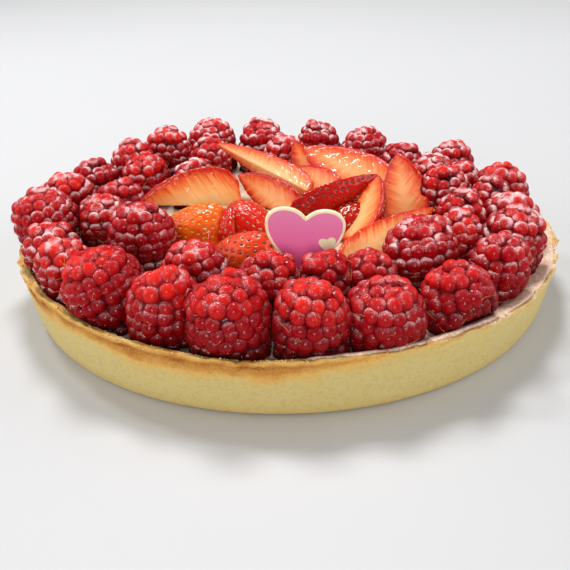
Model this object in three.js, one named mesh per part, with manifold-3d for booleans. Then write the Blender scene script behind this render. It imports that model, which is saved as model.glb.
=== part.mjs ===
// A round berry tart: a shortcrust case with a wavy browned rim, an almond cream filling nearly level with
// it, raspberries in rings on the cream, cut strawberries heaped in the middle, and a heart plaque.
// Millimetres, +Z up. The origin is the middle of the case's underside, and -Y is the front.
import * as THREE from "three";
import { mergeVertices } from "three/addons/utils/BufferGeometryUtils.js";
import Module from "manifold-3d";

const wasm = await Module();
wasm.setup();

// The case
const RIM_RADIUS = 90;
const BASE_RADIUS = 85.5;
const RIM_HEIGHT = 17.9;
const RIM_TILT = 2.2;
const RIM_HIGH_AT = -131;
const WALL = 3.2;
const FLOOR = 4;
const CASE_SEGMENTS = 72;

// The filling, a low mound of it under the strawberries, and the gap kept between pieces that touch
const FILLING_LEVEL = 15.3;
const MOUND_HEIGHT = 7;
const MOUND_RADIUS = 46;
const GAP = 0.3;

// A raspberry's drupelets: rows from base to tip, and how many go round
const DRUPELET_ROWS = 5;
const DRUPELETS_ROUND = 9;
const DRUPELET_RELIEF = 0.11;
const BASE_LATITUDE = -62;
const TIP_LATITUDE = 84;
const WIDEST_AT = 0.4;

// The plaque
const PLAQUE_WIDTH = 23.5;
const PLAQUE_THICKNESS = 2;
const PLAQUE_AT = [4.6, -41.5, 31.5];
const PLAQUE_LEAN = 8;
const PLAQUE_ROLL = -6;

// Each raspberry: [bearing in degrees, distance from the middle, radius, height, lean in degrees, and the
// bearing that it leans to]
const OUTER_RASPBERRIES = [
  [-102, 77, 11, 21, 4, -102],
  [-86, 77.5, 9.9, 20, 3, -60],
  [-71.5, 78, 10.4, 17.5, 6, -100],
  [-55.5, 80, 9.8, 17.5, 16, 150],
  [-39.5, 77.5, 8.6, 19, 6, -40],
  [-25.5, 75.5, 9.5, 20, 12, -10],
  [-10, 73.5, 9.4, 17, 14, -30],
  [9, 76.5, 9.3, 18, 10, 20],
  [22, 70, 7.6, 15, 12, 200],
  [34.5, 77.5, 8.6, 17, 8, 60],
  [46, 65, 8, 16, 14, 30],
  [62.5, 69.5, 9.3, 18, 8, 90],
  [79, 70.5, 8.9, 19, 6, 60],
  [98, 70, 9.8, 20, 5, 100],
  [113.5, 77.5, 10, 20.5, 8, 90],
  [127.5, 79, 9.8, 20, 6, 120],
  [140.5, 78, 8.6, 19, 10, 150],
  [155, 79.5, 9, 17, 12, 130],
  [168.5, 80, 9.8, 18, 14, -120],
  [-174, 80, 10.6, 21, 20, -175],
  [-160, 78.5, 8.8, 16.5, 12, 170],
  [-147, 78, 8.6, 18.5, 14, -140],
  [-132, 76.5, 11.3, 21.5, 22, -165],
  [-116.5, 75.7, 9.9, 20, 5, -90],
];
const INNER_RASPBERRIES = [
  [-175, 62, 8.9, 17, 8, -150],
  [170, 60, 8.4, 17, 10, 90],
  [-152.5, 52, 10.6, 21, 8, 60],
  [-119.5, 54.5, 9.7, 18, 12, 170],
  [-96, 56.5, 8.8, 18, 6, 0],
  [-79, 56, 8.2, 17.5, 16, -160],
  [-67.5, 58, 8.4, 16.5, 12, 20],
  [-47.5, 57.5, 10.9, 21.5, 10, 120],
  [-32, 61, 7.6, 19, 8, 30],
  [-18, 58.5, 7.9, 20, 6, 100],
  [0, 69.5, 7.4, 18.5, 10, 180],
  [6, 55.5, 9, 20, 12, 150],
  [27, 61, 8.4, 17, 10, 120],
  [91, 54, 8.2, 19, 8, -90],
  [121, 59, 8.2, 19, 6, -60],
  [147.5, 63, 9, 18.5, 10, -90],
  [139, 46, 8.4, 17, 6, 90],
];

// Each piece of cut strawberry, lowest first: [name, middle of its shoulder, its tip, its radius, the bearing
// and elevation that its first cut faces, that cut's distance from the axis, the wedge's angle if cut twice]
const STRAWBERRIES = [
  ["low_left", [-20, 1, 20], [-3, -17, 20], 9, [90, -60], 0],
  ["low_right", [27, -2, 19], [8, -15, 18.5], 9, [90, -60], 0],
  ["seedy_front", [-3, -31, 19], [-27, -27, 19], 10, [90, 0], 1],
  ["seedy_left", [-19, -11, 20.2], [-44, -6, 20.2], 10, [90, -20], 1],
  ["thin_back", [9, 37, 22], [3, 48, 34], 5, [-100, 20], 0],
  ["back_left", [7, 6, 28], [-29, 48, 34], 8, [-120, 65], 0, -90],
  ["large_left", [-16, 10, 21.6], [-52, 3, 25.6], 13.8, [-92, 12], 0, -90],
  ["middle_left", [3, -4, 24], [-18, 20, 30], 7, [-140, 20], 0],
  ["small_back", [17, 7, 25], [3, 29, 29], 7, [-130, 35], 0],
  ["large_back", [36, 10, 27], [6, 41, 33], 9, [-110, 45], 0],
  ["upright_right", [41, -3, 18], [39, 16, 38], 9, [-120, 20], 0],
  ["dark_wedge", [0, -5, 25.5], [32, 8, 33], 8, [90, -30], 0, 110],
  ["middle_right", [20, -21, 22], [31, 2, 35], 8.5, [-138, 15], 0],
  ["front_right", [16, -42, 23], [48, -14, 29], 6.5, [-60, 50], 0],
  ["standing_sliver", [-17, -18, 17], [-18, -7, 30], 7, [10, 10], 0, 60],
];
const STRAWBERRY_SIDES = 12;
const STRAWBERRY_RINGS = 8;

const COLOURS = {
  crust: 0xd9b673,
  cream: 0xd8ae8a,
  raspberry: 0xb01226,
  strawberry: 0xe2502c,
  plaque: 0xd86a9c,
};

const radians = THREE.MathUtils.degToRad;

/** A seeded source of numbers from 0 to 1, so that the tart comes out the same each time. */
function seeded(seed) {
  let state = seed >>> 0;
  return () => {
    state = (Math.imul(state, 1664525) + 1013904223) >>> 0;
    return state / 4294967296;
  };
}

/** Height of the case's rim at a bearing in radians: higher at the left, with a hand-pressed edge's waves. */
function rimHeight(bearing) {
  const tilt = RIM_TILT * Math.cos(bearing - radians(RIM_HIGH_AT));
  return RIM_HEIGHT + tilt + 0.3 * Math.sin(5 * bearing + 1) + 0.22 * Math.sin(13 * bearing + 2);
}

/** Height of the filling's top at a distance from the middle. */
function fillingHeight(distance) {
  const share = Math.min(1, distance / MOUND_RADIUS);
  return FILLING_LEVEL + MOUND_HEIGHT * (0.5 + 0.5 * Math.cos(Math.PI * share));
}

/** Unit vector from a bearing and an elevation in degrees. */
function direction(bearing, elevation) {
  const flat = Math.cos(radians(elevation));
  const b = radians(bearing);
  return new THREE.Vector3(flat * Math.cos(b), flat * Math.sin(b), Math.sin(radians(elevation)));
}

/** The geometry with its shared corners merged and only its positions kept. */
function merged(geometry) {
  const bare = geometry.clone();
  bare.deleteAttribute("normal");
  bare.deleteAttribute("uv");
  return mergeVertices(bare, 1e-4);
}

/** A closed geometry as a solid that can be joined and cut, its faces turned outwards. */
function solidOf(geometry) {
  const closed = merged(geometry);
  const vertProperties = new Float32Array(closed.attributes.position.array);
  const triVerts = new Uint32Array(closed.index.array);
  return new wasm.Manifold(new wasm.Mesh({ numProp: 3, vertProperties, triVerts }));
}

/** The geometry of a solid. */
function geometryOf(solid) {
  const mesh = solid.getMesh();
  const geometry = new THREE.BufferGeometry();
  geometry.setAttribute("position", new THREE.BufferAttribute(new Float32Array(mesh.vertProperties), 3));
  geometry.setIndex(new THREE.BufferAttribute(new Uint32Array(mesh.triVerts), 1));
  geometry.computeVertexNormals();
  return geometry;
}

/** A profile of [radius, height] points turned round the vertical axis. */
function turned(profile, segments) {
  const points = profile.map(([radius, height]) => new THREE.Vector2(radius, height));
  return new THREE.LatheGeometry(points, segments).rotateX(Math.PI / 2);
}

function meshOf(name, geometry, colour, roughness = 0.6) {
  const material = new THREE.MeshStandardMaterial({ color: colour, roughness, metalness: 0 });
  const mesh = new THREE.Mesh(geometry, material);
  mesh.name = name;
  return mesh;
}

/** The pastry case: a flared wall on a rounded foot, its rim wavy in height and slightly out of round. */
function makeCrust() {
  const profile = [
    [0, 0],
    [BASE_RADIUS - 2.6, 0],
    [BASE_RADIUS - 0.4, 1.1],
    [BASE_RADIUS + 0.9, 4.2],
    [BASE_RADIUS + 2.1, 10],
    [RIM_RADIUS - 1, RIM_HEIGHT - 3.2],
    [RIM_RADIUS, RIM_HEIGHT - 0.7],
    [RIM_RADIUS - 0.9, RIM_HEIGHT],
    [RIM_RADIUS - WALL + 0.5, RIM_HEIGHT - 0.1],
    [RIM_RADIUS - WALL, RIM_HEIGHT - 1.2],
    [BASE_RADIUS - WALL + 1.2, FLOOR + 1],
    [0, FLOOR],
  ];
  const geometry = merged(turned(profile, CASE_SEGMENTS));
  const position = geometry.attributes.position;
  for (let i = 0; i < position.count; i++) {
    const [x, y, z] = [position.getX(i), position.getY(i), position.getZ(i)];
    const bearing = Math.atan2(y, x);
    const share = Math.max(0, (z - FLOOR - 2) / (RIM_HEIGHT - FLOOR - 2));
    const out = 1 + (0.003 * Math.sin(3 * bearing) + 0.002 * Math.sin(7 * bearing + 2)) * share;
    position.setXYZ(i, x * out, y * out, z + (rimHeight(bearing) - RIM_HEIGHT) * share);
  }
  return meshOf("crust", geometry, COLOURS.crust, 0.85);
}

/** The top of the filling from the mound's foot to its crown, as a profile a margin above the cream. */
function moundProfile(margin) {
  const steps = 5;
  const point = (i) => (MOUND_RADIUS * (steps - i)) / steps;
  return [...Array(steps + 1).keys()].map((i) => [point(i), fillingHeight(point(i)) + margin]);
}

/** The cream: a solid disc that fills the case nearly to its rim, and rises a little in the middle. */
function makeFilling() {
  const bottom = FLOOR + 1 + 2 * GAP;
  const wallAt = (z) => BASE_RADIUS + 1.2 - WALL + ((z - FLOOR - 1) / (RIM_HEIGHT - FLOOR - 2.2)) * 3.3;
  const profile = [
    [0, bottom],
    [wallAt(bottom) - 3 * GAP, bottom],
    [wallAt(FILLING_LEVEL) - 3 * GAP, FILLING_LEVEL - GAP],
    [wallAt(FILLING_LEVEL) - 5 * GAP, FILLING_LEVEL],
    ...moundProfile(0),
  ];
  return meshOf("filling", merged(turned(profile, CASE_SEGMENTS / 2)), COLOURS.cream, 0.7);
}

/** A heart-shaped plaque with a rounded edge, standing on its point and leaning back against the fruit. */
function makePlaque() {
  const half = PLAQUE_WIDTH / 2;
  const heart = new THREE.Shape();
  heart.moveTo(0, -half * 1.02);
  heart.bezierCurveTo(half * 0.34, -half * 0.62, half, -half * 0.2, half, half * 0.36);
  heart.bezierCurveTo(half, half * 0.8, half * 0.3, half * 0.9, 0, half * 0.52);
  heart.bezierCurveTo(-half * 0.3, half * 0.9, -half, half * 0.8, -half, half * 0.36);
  heart.bezierCurveTo(-half, -half * 0.2, -half * 0.34, -half * 0.62, 0, -half * 1.02);
  const bevel = 0.4;
  const geometry = new THREE.ExtrudeGeometry(heart, {
    depth: PLAQUE_THICKNESS - 2 * bevel,
    bevelThickness: bevel,
    bevelSize: bevel,
    bevelOffset: -bevel,
    bevelSegments: 1,
    curveSegments: 7,
  });
  geometry.translate(0, 0, -PLAQUE_THICKNESS / 2).rotateX(Math.PI / 2);
  const mesh = meshOf("plaque", merged(geometry), COLOURS.plaque, 0.35);
  mesh.position.set(...PLAQUE_AT);
  mesh.rotation.set(radians(-PLAQUE_LEAN), radians(-PLAQUE_ROLL), 0, "YXZ");
  return mesh;
}

/** Radius and height of a raspberry's surface at a latitude in degrees, from its widest level. */
function raspberryProfile({ radius, height }, latitude) {
  const sine = Math.sin(radians(latitude));
  const below = (WIDEST_AT * height) / Math.sin(radians(-BASE_LATITUDE));
  const reach = latitude > 0 ? (1 - WIDEST_AT) * height : below;
  return [0.94 * radius * Math.cos(radians(latitude)) ** 0.8, reach * sine];
}

/** A raspberry of staggered rows of drupelets, each a four-sided bump, on a flat base. */
function raspberryGeometry(place, random) {
  const corners = [];
  const faces = [];
  const steps = [...Array(DRUPELETS_ROUND).keys()];
  const flatten = 0.97 + 0.06 * random();
  const add = (row, step, swell) => {
    const share = (row + 1) / (DRUPELET_ROWS + 1);
    const [r, z] = raspberryProfile(place, BASE_LATITUDE + share * (TIP_LATITUDE - BASE_LATITUDE));
    const turn = (2 * Math.PI * step) / DRUPELETS_ROUND;
    const out = 1 + swell * (0.75 + 0.5 * random());
    const [x, y] = [r * out * Math.cos(turn), r * out * Math.sin(turn)];
    corners.push(x * flatten, y / flatten, z * (1 + swell * 0.5));
    return corners.length / 3 - 1;
  };
  const shift = (row) => (row % 2 === 0 ? 0 : 0.5);
  const rings = [];
  for (let row = -1; row <= DRUPELET_ROWS; row++) {
    rings.push(steps.map((i) => add(row, i + 0.5 + shift(row), -DRUPELET_RELIEF / 2)));
  }
  const ring = (row, i) => rings[row + 1][(i + DRUPELETS_ROUND) % DRUPELETS_ROUND];
  for (let row = 0; row < DRUPELET_ROWS; row++) {
    for (const i of steps) {
      const centre = add(row, i + shift(row), DRUPELET_RELIEF);
      const between = shift(row) === 0 ? i - 1 : i;
      const [left, right] = [ring(row, i - 1), ring(row, i)];
      const [low, high] = [ring(row - 1, between), ring(row + 1, between)];
      faces.push(centre, low, right, centre, right, high, centre, high, left, centre, left, low);
    }
  }
  corners.push(0, 0, raspberryProfile(place, 90)[1]);
  const tip = corners.length / 3 - 1;
  const above = shift(DRUPELET_ROWS) === 0 ? 1 : 0;
  for (const i of steps) {
    faces.push(ring(0, i), ring(-1, i - 1), ring(-1, i));
    const top = [ring(DRUPELET_ROWS, i + above), ring(DRUPELET_ROWS, i + above - 1)];
    faces.push(ring(DRUPELET_ROWS - 1, i), ...top);
    faces.push(ring(DRUPELET_ROWS, i - 1), ring(DRUPELET_ROWS, i), tip);
    if (i > 1) faces.push(ring(-1, 0), ring(-1, i), ring(-1, i - 1));
  }
  const geometry = new THREE.BufferGeometry();
  geometry.setAttribute("position", new THREE.Float32BufferAttribute(corners, 3));
  geometry.setIndex(faces);
  return geometry;
}

/** Where each raspberry stands: the middle of its widest level, its radius, its height and its turn. */
function raspberryPlaces() {
  const random = seeded(7);
  return [...OUTER_RASPBERRIES, ...INNER_RASPBERRIES].map((row) => {
    const [bearing, distance, radius, height, lean, towards] = row;
    const out = direction(bearing, 0).multiplyScalar(distance);
    const tip = direction(towards, 90 - lean);
    const turn = new THREE.Quaternion().setFromUnitVectors(new THREE.Vector3(0, 0, 1), tip);
    turn.multiply(new THREE.Quaternion().setFromAxisAngle(new THREE.Vector3(0, 0, 1), 6.28 * random()));
    out.z = fillingHeight(distance) + GAP + WIDEST_AT * height * 0.97;
    return { centre: out, radius, height, turn };
  });
}

/** How far along the way from a berry's centre a point may stay, clear of neighbours, cream and rim. */
function freeShare(place, neighbours, way) {
  let share = 1;
  for (const other of neighbours) {
    const apart = other.centre.clone().sub(place.centre);
    const distance = apart.length();
    const own = (distance ** 2 + place.radius ** 2 - other.radius ** 2) / (2 * distance) - GAP / 2;
    const along = way.dot(apart.divideScalar(distance));
    if (along > own) share = Math.min(share, own / along);
  }
  const blocked = (s) => {
    const at = way.clone().multiplyScalar(s).add(place.centre);
    const radius = Math.hypot(at.x, at.y);
    const onRim = radius > RIM_RADIUS - WALL - 7 * GAP && radius < RIM_RADIUS + 2;
    const level = onRim ? rimHeight(Math.atan2(at.y, at.x)) + 3 * GAP : fillingHeight(radius) + GAP;
    return at.z < level;
  };
  while (blocked(share) && share > 0.3) share -= 0.01;
  return share;
}

/** The raspberries, each pressed flat where it meets a neighbour, the cream or the rim. */
function makeRaspberries(places) {
  const random = seeded(21);
  return places.map((place, index) => {
    const near = (other) => other !== place && other.centre.distanceTo(place.centre) < 32;
    const neighbours = places.filter(near);
    const geometry = raspberryGeometry(place, random);
    const position = geometry.attributes.position;
    const back = place.turn.clone().invert();
    for (let i = 0; i < position.count; i++) {
      const way = new THREE.Vector3().fromBufferAttribute(position, i).applyQuaternion(place.turn);
      way.multiplyScalar(freeShare(place, neighbours, way)).applyQuaternion(back);
      position.setXYZ(i, way.x, way.y, way.z);
    }
    const number = String(index + 1).padStart(2, "0");
    const mesh = meshOf(`raspberry_${number}`, geometry, COLOURS.raspberry, 0.45);
    mesh.position.copy(place.centre);
    mesh.quaternion.copy(place.turn);
    return mesh;
  });
}

/** A whole strawberry along +Z, from its shoulder at 0 to its tip, grown on every side by a margin. */
function wholeStrawberry(length, radius, margin) {
  const [shoulder, taper] = [0.32, 0.75];
  const widest = shoulder / (shoulder + taper);
  const fullest = widest ** shoulder * (1 - widest) ** taper;
  const profile = [...Array(STRAWBERRY_RINGS + 1).keys()].map((i) => {
    const t = 0.5 - 0.5 * Math.cos((Math.PI * i) / STRAWBERRY_RINGS);
    const r = (radius * t ** shoulder * (1 - t) ** taper) / fullest;
    const end = i === 0 || i === STRAWBERRY_RINGS;
    return [end ? 0 : r + margin, t * length + margin * (2 * t - 1)];
  });
  return solidOf(turned(profile, STRAWBERRY_SIDES).rotateZ(Math.PI / STRAWBERRY_SIDES));
}

/** A knife cut: all that lies further than `offset` from the berry's axis in the direction of `angle`. */
function cutAway(length, offset, angle) {
  const reach = 4 * length;
  const box = new THREE.BoxGeometry(reach, reach, reach);
  box.translate(0, offset + reach / 2, 0).rotateZ(radians(angle));
  return solidOf(box);
}

/** The turn that brings +Z to a strawberry's axis and +Y as near as it can to where the first cut faces. */
function strawberryTurn({ shoulder, tip, faces }) {
  const axis = new THREE.Vector3(...tip).sub(new THREE.Vector3(...shoulder)).normalize();
  const side = new THREE.Vector3().crossVectors(direction(...faces), axis).normalize();
  const face = new THREE.Vector3().crossVectors(axis, side);
  return new THREE.Matrix4().makeBasis(side, face, axis).setPosition(...shoulder);
}

/** A cut piece of strawberry in the tart's frame, grown on every side by a margin. */
function strawberrySolid(piece, margin) {
  const length = new THREE.Vector3(...piece.tip).distanceTo(new THREE.Vector3(...piece.shoulder));
  let solid = wholeStrawberry(length, piece.radius, margin);
  solid = solid.subtract(cutAway(length, piece.cut + margin, 0));
  if (piece.wedge) solid = solid.subtract(cutAway(length, margin, 180 - piece.wedge));
  return solid.transform(strawberryTurn(piece).elements);
}

/** A plain solid in a mesh's place, from a geometry in the mesh's own frame. */
function keptClear(mesh, geometry) {
  mesh.updateMatrix();
  return solidOf(geometry.clone().applyMatrix4(mesh.matrix));
}

/** The space that a raspberry takes up, as a smooth form a little larger than the berry. */
function raspberrySpace(mesh, place) {
  const latitudes = [-90, BASE_LATITUDE, -30, 0, 30, 60, 90];
  const profile = latitudes.map((latitude) => {
    const [r, z] = raspberryProfile(place, Math.max(latitude, BASE_LATITUDE - 8));
    const swollen = r * (1 + 1.7 * DRUPELET_RELIEF) + GAP;
    return [Math.abs(latitude) === 90 ? 0 : swollen, z * 1.08 + GAP * Math.sign(latitude)];
  });
  return keptClear(mesh, turned(profile, DRUPELETS_ROUND + 3));
}

/** The cut strawberries, each shaped to lie on those below it and clear of the raspberries and the plaque. */
function makeStrawberries(raspberries, places, plaque) {
  const spaces = raspberries.map((mesh, i) => [places[i].centre, raspberrySpace(mesh, places[i])]);
  const plaqueSpace = keptClear(plaque, plaque.geometry.clone().scale(1.03, 1.35, 1.03));
  const edge = [[0, 0], [RIM_RADIUS, 0], [RIM_RADIUS, FILLING_LEVEL + GAP]];
  const below = solidOf(turned([...edge, ...moundProfile(2 * GAP)], CASE_SEGMENTS / 2));
  const placed = [];
  return STRAWBERRIES.map(([name, shoulder, tip, radius, faces, cut, wedge]) => {
    const piece = { shoulder, tip, radius, faces, cut, wedge };
    const middle = new THREE.Vector3(...tip).add(new THREE.Vector3(...shoulder)).divideScalar(2);
    let solid = strawberrySolid(piece, 0).subtract(below).subtract(plaqueSpace);
    for (const [centre, space] of spaces) {
      if (centre.distanceTo(middle) < 42) solid = solid.subtract(space);
    }
    for (const other of placed) solid = solid.subtract(other);
    placed.push(strawberrySolid(piece, GAP));
    const largest = solid.decompose().sort((a, b) => b.volume() - a.volume())[0];
    return meshOf(`strawberry_${name}`, geometryOf(largest), COLOURS.strawberry, 0.35);
  });
}

const tart = new THREE.Group();
const places = raspberryPlaces();
const raspberries = makeRaspberries(places);
const plaque = makePlaque();
const strawberries = makeStrawberries(raspberries, places, plaque);
tart.add(makeCrust(), makeFilling(), plaque, ...raspberries, ...strawberries);

export default tart;
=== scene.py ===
"""The visual model of a berry tart: crust, almond cream, raspberries, cut strawberries and a heart plaque."""

import math

import bmesh
import bpy
import numpy as np
from mathutils import Matrix, Vector, noise
from mathutils.bvhtree import BVHTree


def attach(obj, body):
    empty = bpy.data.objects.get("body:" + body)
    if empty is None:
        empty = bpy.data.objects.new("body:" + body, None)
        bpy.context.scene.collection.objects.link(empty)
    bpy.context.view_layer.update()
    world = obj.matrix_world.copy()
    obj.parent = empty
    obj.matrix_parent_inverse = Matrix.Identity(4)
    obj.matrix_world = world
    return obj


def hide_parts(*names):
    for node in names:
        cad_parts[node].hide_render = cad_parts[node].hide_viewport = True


bl_info = {
    "name": "Berry tart",
    "version": (1, 0, 0),
    "blender": (4, 5, 0),
    "location": "View3D > Sidebar > Tart",
    "description": "Makes a raspberry and strawberry tart over its packed frame",
    "category": "Add Mesh",
}

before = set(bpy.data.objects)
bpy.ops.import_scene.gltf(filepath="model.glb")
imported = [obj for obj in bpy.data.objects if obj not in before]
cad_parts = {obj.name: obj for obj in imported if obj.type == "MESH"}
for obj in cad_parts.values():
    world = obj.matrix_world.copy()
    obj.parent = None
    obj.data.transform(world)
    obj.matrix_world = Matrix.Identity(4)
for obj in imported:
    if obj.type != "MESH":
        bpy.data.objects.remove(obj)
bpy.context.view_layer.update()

MM = 0.001

# The case, as the frame has it, in millimetres
RIM_RADIUS = 90.0
BASE_RADIUS = 85.5
RIM_HEIGHT = 17.9
RIM_TILT = 2.2
RIM_HIGH_AT = -131.0
WALL = 3.2
FLOOR = 4.0

# The filling and its mound
FILLING_LEVEL = 15.3
MOUND_HEIGHT = 7.0
MOUND_RADIUS = 46.0
GAP = 0.3

# How finely the case and the cream are cut, and the crumbs on the case's lip
CRUST_STEPS, CRUST_CELL = 720, 0.45
FILLING_STEPS = 360
CRUMBS, CRUMB_SIZES = 420, (0.18, 0.42)

# Each raspberry: [bearing, distance from the middle, radius, height, lean, bearing of the lean]
OUTER_RASPBERRIES = [
    [-102, 77, 11, 21, 4, -102],
    [-86, 77.5, 9.9, 20, 3, -60],
    [-71.5, 78, 10.4, 17.5, 6, -100],
    [-55.5, 80, 9.8, 17.5, 16, 150],
    [-39.5, 77.5, 8.6, 19, 6, -40],
    [-25.5, 75.5, 9.5, 20, 12, -10],
    [-10, 73.5, 9.4, 17, 14, -30],
    [9, 76.5, 9.3, 18, 10, 20],
    [22, 70, 7.6, 15, 12, 200],
    [34.5, 77.5, 8.6, 17, 8, 60],
    [46, 65, 8, 16, 14, 30],
    [62.5, 69.5, 9.3, 18, 8, 90],
    [79, 70.5, 8.9, 19, 6, 60],
    [98, 70, 9.8, 20, 5, 100],
    [113.5, 77.5, 10, 20.5, 8, 90],
    [127.5, 79, 9.8, 20, 6, 120],
    [140.5, 78, 8.6, 19, 10, 150],
    [155, 79.5, 9, 17, 12, 130],
    [168.5, 80, 9.8, 18, 14, -120],
    [-174, 80, 10.6, 21, 20, -175],
    [-160, 78.5, 8.8, 16.5, 12, 170],
    [-147, 78, 8.6, 18.5, 14, -140],
    [-132, 76.5, 11.3, 21.5, 22, -165],
    [-116.5, 75.7, 9.9, 20, 5, -90],
]
INNER_RASPBERRIES = [
    [-175, 62, 8.9, 17, 8, -150],
    [170, 60, 8.4, 17, 10, 90],
    [-152.5, 52, 10.6, 21, 8, 60],
    [-119.5, 54.5, 9.7, 18, 12, 170],
    [-96, 56.5, 8.8, 18, 6, 0],
    [-79, 56, 8.2, 17.5, 16, -160],
    [-67.5, 58, 8.4, 16.5, 12, 20],
    [-47.5, 57.5, 10.9, 21.5, 10, 120],
    [-32, 61, 7.6, 19, 8, 30],
    [-18, 58.5, 7.9, 20, 6, 100],
    [0, 69.5, 7.4, 18.5, 10, 180],
    [6, 55.5, 9, 20, 12, 150],
    [27, 61, 8.4, 17, 10, 120],
    [91, 54, 8.2, 19, 8, -90],
    [121, 59, 8.2, 19, 6, -60],
    [147.5, 63, 9, 18.5, 10, -90],
    [139, 46, 8.4, 17, 6, 90],
]
WIDEST_AT = 0.4
BASE_TAPER = 0.04
CORE_CUT = (15, 26)
DOME_CUT, DOME_ANGLES = (5, 14), (14, 80)
DOME_CREST, CREST_ENDS = 1.04, 66
# Shares of a drupelet's width: how deep its middle sits, its row's height, its share of the row, its radius
DRUPELET_SINK, ROW_GAP, RING_GAP, CAP_RADIUS = 0.66, 0.86, 0.97, 0.75
STAND_BACK = 3.4
PRESSED = 0.02
BERRY_REACH = 32
HAIRS, HAIR_LENGTHS, HAIR_WIDTH, HAIR_CUT = 36, (1.5, 3.2), 0.06, (5, 3)
GRAIN_SIZES = (0.06, 0.13)

# Each cut strawberry: name: (shoulder, tip, radius, the bearing and elevation that its cut faces, how ripe
# it is, how red its flesh is, how dark its seeds are), the last three from 0 to 1
STRAWBERRIES = {
    "low_left": ((-20, 1, 20), (-3, -17, 20), 9, (90, -60), 0.66, 0.8, 0.6),
    "low_right": ((27, -2, 19), (8, -15, 18.5), 9, (90, -60), 0.9, 0.8, 0.5),
    "seedy_front": ((-3, -31, 19), (-27, -27, 19), 10, (90, 0), 0.5, 0.5, 1.0),
    "seedy_left": ((-19, -11, 20.2), (-44, -6, 20.2), 10, (90, -20), 0.28, 0.3, 0.1),
    "thin_back": ((9, 37, 22), (3, 48, 34), 5, (-100, 20), 0.8, 0.8, 0.3),
    "back_left": ((7, 6, 28), (-29, 48, 34), 8, (-120, 65), 0.5, 0.45, 0.4),
    "large_left": ((-16, 10, 21.6), (-52, 3, 25.6), 13.8, (-92, 12), 0.75, 0.0, 0.4),
    "middle_left": ((3, -4, 24), (-18, 20, 30), 7, (-140, 20), 0.9, 0.5, 0.8),
    "small_back": ((17, 7, 25), (3, 29, 29), 7, (-130, 35), 0.8, 0.45, 0.5),
    "large_back": ((36, 10, 27), (6, 41, 33), 9, (-110, 45), 0.7, 0.6, 0.4),
    "upright_right": ((41, -3, 18), (39, 16, 38), 9, (-120, 20), 0.75, 0.62, 0.4),
    "dark_wedge": ((0, -5, 25.5), (32, 8, 33), 8, (90, -30), 0.85, 0.9, 1.0),
    "middle_right": ((20, -21, 22), (31, 2, 35), 8.5, (-138, 15), 0.95, 0.45, 0.6),
    "front_right": ((16, -42, 23), (48, -14, 29), 6.5, (-60, 50), 0.6, 0.32, 0.5),
    "standing_sliver": ((-17, -18, 17), (-18, -7, 30), 7, (10, 10), 0.8, 0.55, 0.6),
}
SHOULDER, TAPER = 0.32, 0.75
STRAWBERRY_CELL = 0.55
SEED_SIZES, SEED_SUNK = (0.85, 1.05), 0.28
SEED_CUT = (6, 8)
DIMPLE_DEPTH, DIMPLE_WIDTH = 0.36, 1.15

# The plaque
PLAQUE_WIDTH = 23.5
PLAQUE_THICKNESS = 2.0
PLAQUE_AT = (4.6, -41.5, 31.5)
PLAQUE_LEAN = 8.0
PLAQUE_ROLL = -6.0
PLAQUE_EDGE = 0.85
BADGE_SIZE, BADGE_AT, BADGE_TURN = 2.5, (6.9, -1.2), 12

# The stage: the floor in millimetres, the light and the camera in metres and degrees
FLOOR_REACH = 6000.0
LIGHT_AIM = (0, 0, 0.02)
CAMERA_AT = (0, -0.2553, 0.12645)
CAMERA_TURN = (62.711, 1.568, -0.431)
CAMERA_LENS, SENSOR_WIDTH = 50.53, 36


def linear(hex_colour):
    """An sRGB hex colour as linear RGBA."""
    parts = [((hex_colour >> shift) & 255) / 255 for shift in (16, 8, 0)]
    return tuple(c / 12.92 if c <= 0.04045 else ((c + 0.055) / 1.055) ** 2.4 for c in parts) + (1.0,)


def colour(name, description, value):
    return bpy.props.FloatVectorProperty(
        name=name, description=description, subtype="COLOR", size=4, min=0, max=1, default=linear(value)
    )


def power(name, description, watts):
    return bpy.props.FloatProperty(name=name, description=description, default=watts, min=0, unit="POWER")


def length(name, description, millimetres, low, high):
    return bpy.props.FloatProperty(
        name=name, description=description, default=millimetres * MM, min=low * MM, max=high * MM,
        unit="LENGTH", precision=5,
    )


def group(kind, name, description):
    return bpy.props.PointerProperty(type=kind, name=name, description=description)


class TartCrustSettings(bpy.types.PropertyGroup):
    pale: colour("Pale crust", "Shortcrust where the ring kept it pale", 0xCDB97A)
    golden: colour("Golden crust", "Shortcrust baked golden", 0xDAA858)
    brown: colour("Browned crust", "Shortcrust browned by the oven's top heat", 0xBA7A32)
    pore: length("Pore", "Width of the small air pores in the wall", 0.9, 0.2, 3)


class TartFillingSettings(bpy.types.PropertyGroup):
    cream: colour("Cream", "Baked almond cream", 0xDDB48E)
    stain: colour("Stain", "Cream stained by berry juice", 0xC4848A)


class TartRaspberrySettings(bpy.types.PropertyGroup):
    flesh: colour("Flesh", "Ripe drupelets", 0xAC0513)
    # Painted shade: the dark red painted into the hollows between the drupelets
    painted_hollow_shade: colour("Hollows", "Between the drupelets", 0x7C030C)
    # Painted light: the brighter flesh painted onto the crests of drupelets near the tip
    bright: colour("Bright flesh", "Drupelets that catch the light", 0xE8240F)
    sugar: colour("Sugar", "Icing sugar, tinted by juice", 0xF5CFCE)
    drupelet: length("Drupelet", "Width of one drupelet", 3.4, 2, 6)
    grains: bpy.props.IntProperty(name="Grains", description="Lumps of icing sugar", default=6000, min=0)


class TartStrawberrySettings(bpy.types.PropertyGroup):
    skin: colour("Skin", "Ripe skin", 0xD21A0C)
    pale_skin: colour("Pale skin", "Less ripe skin", 0xEA5A10)
    flesh: colour("Flesh", "Cut flesh", 0xFFB468)
    core: colour("Core", "Cut flesh by the core", 0xFFDA92)
    seed_gap: length("Seed spacing", "Distance between seeds", 2.7, 1.5, 8)


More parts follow.
